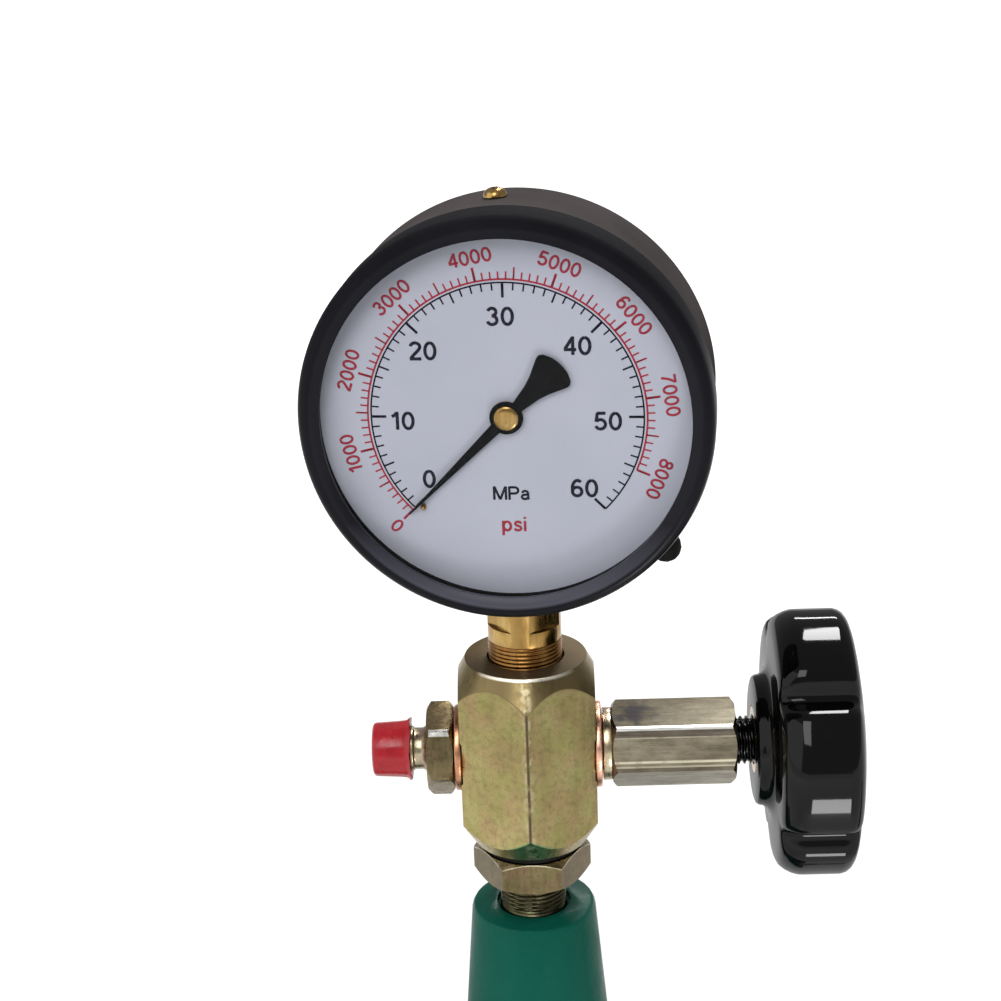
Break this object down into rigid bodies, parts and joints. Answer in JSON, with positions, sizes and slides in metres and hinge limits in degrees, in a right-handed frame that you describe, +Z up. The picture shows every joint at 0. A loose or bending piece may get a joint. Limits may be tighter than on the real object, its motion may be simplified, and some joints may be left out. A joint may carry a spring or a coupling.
{
  "type": "diesel injector tester",
  "caption": "Hand-operated diesel injector tester: tapered pump stand with lever and oil tank, pressure block with capped outlet, shut-off valve with lobed knob, and dial pressure gauge.",
  "frame": {"origin": "middle of the foot's underside, on the axis of the column", "axes": "+Z up along the column, -Y to the front that the dial faces, +X to the right towards the hand lever and the valve knob"},
  "size_m": [0.3909, 0.11, 0.3885],
  "materials": {
    "green_paint": "dark green gloss enamel on a casting",
    "zinc_yellow": "yellow passivated zinc plating on steel",
    "zinc_grey": "faded zinc plating on steel",
    "copper": "soft copper sealing washer",
    "brass": "machined brass",
    "steel": "machined steel",
    "black_steel": "blackened steel thread",
    "case_black": "matt black enamel on pressed steel",
    "bezel_black": "satin black enamel on a steel ring",
    "knob_black": "polished black phenolic moulding",
    "rubber": "matt black rubber",
    "red_plastic": "soft red plastic",
    "dial_white": "white enamel dial plate with printed scales",
    "glass": "clear window glass",
    "pointer_black": "satin black enamel on thin sheet"
  },
  "bodies": {
    "tester": {"pump_stand": "green_paint", "pump_barrel": "steel", "spring_seat": "steel", "plunger_spring": "steel", "delivery_seat": "steel", "delivery_spring": "steel", "valve_holder": "steel", "lever_pivot_pin": "steel", "pin_clip_front": "steel", "pin_clip_rear": "steel", "lock_nut": "zinc_yellow", "block_seal": "rubber", "pressure_block": "zinc_yellow", "outlet_washer": "copper", "outlet_connector": "zinc_yellow", "valve_washer": "copper", "valve_housing": "zinc_grey", "stem_washer": "copper", "gauge_stem": "brass", "gauge_case": "case_black", "gauge_bezel": "bezel_black", "gauge_glass": "glass", "glass_gasket": "rubber", "gauge_dial": "dial_white", "stop_pin": "brass", "case_screw_1": "brass", "case_screw_2": "brass", "case_screw_3": "brass", "vent_plug": "rubber", "movement_rear_plate": "brass", "movement_front_plate": "brass", "movement_pillar_upper": "brass", "movement_pillar_lower": "brass", "bourdon_tube": "brass", "tube_tip": "brass", "hairspring": "steel", "oil_tank": "green_paint", "tank_union_bolt": "brass", "tank_washer_outer": "copper", "tank_washer_inner": "copper"},
    "lever": {"hand_lever": "steel", "handle_rod": "steel", "hand_grip": "rubber"},
    "pump_plunger": {"plunger": "steel", "tappet": "steel"},
    "delivery_poppet": {"delivery_valve": "steel"},
    "needle": {"valve_needle": "steel"},
    "knob": {"valve_spindle": "black_steel", "knob_insert": "brass", "star_knob": "knob_black"},
    "cap": {"outlet_cap": "red_plastic"},
    "lid": {"tank_lid": "zinc_grey", "lid_knob": "knob_black"},
    "sector": {"sector_gear": "brass"},
    "link": {"movement_link": "brass"},
    "pointer_set": {"pinion_arbor": "steel", "pointer": "pointer_black", "pointer_hub_cap": "brass"}
  },
  "joints": [
    {"name": "lever_pivot", "type": "hinge", "parent": "tester", "child": "lever", "pos_m": [0.03, 0, 0.044], "axis": [0, 1, 0], "range_deg": [0, 24]},
    {"name": "plunger_stroke", "type": "slide", "parent": "tester", "child": "pump_plunger", "axis": [0, 0, 1], "range_m": [0, 0.0125], "stiffness_N_per_m": 8600, "springref_m": -0.006, "deforming": ["plunger_spring"]},
    {"name": "delivery_lift", "type": "slide", "parent": "tester", "child": "delivery_poppet", "axis": [0, 0, 1], "range_m": [0, 0.0015], "stiffness_N_per_m": 5700, "springref_m": -0.002, "deforming": ["delivery_spring"]},
    {"name": "valve_travel", "type": "slide", "parent": "tester", "child": "needle", "axis": [1, 0, 0], "range_m": [0, 0.003]},
    {"name": "valve_turn", "type": "hinge", "parent": "needle", "child": "knob", "pos_m": [0.075, 0, 0.237], "axis": [1, 0, 0], "range_deg": [0, 720]},
    {"name": "cap_pull", "type": "slide", "parent": "tester", "child": "cap", "axis": [-1, 0, 0], "range_m": [0, 0.02]},
    {"name": "lid_lift", "type": "slide", "parent": "tester", "child": "lid", "axis": [0, 0, 1], "range_m": [0, 0.03]},
    {"name": "sector_turn", "type": "hinge", "parent": "tester", "child": "sector", "pos_m": [0.01423, -0.0015, 0.3133], "axis": [-0.1045, -0.9945, 0], "range_deg": [0, 33.75], "stiffness_Nm_per_rad": 0.02, "springref_deg": -17.19},
    {"name": "link_swing", "type": "hinge", "parent": "sector", "child": "link", "pos_m": [0.02402, -0.00252, 0.31157], "axis": [-0.1045, -0.9945, 0], "range_deg": [-33.75, 0]},
    {"name": "pointer_turn", "type": "hinge", "parent": "tester", "child": "pointer_set", "pos_m": [0, 0, 0.3362], "axis": [-0.1045, -0.9945, 0], "range_deg": [-270, 0]}
  ],
  "couplings": [
    {"joint": "plunger_stroke", "follows": "lever_pivot", "m_per_rad": 0.02977},
    {"joint": "valve_travel", "follows": "valve_turn", "m_per_rad": 0.00023873},
    {"joint": "link_swing", "follows": "sector_turn", "ratio": -1},
    {"joint": "pointer_turn", "follows": "sector_turn", "ratio": -8}
  ]
}
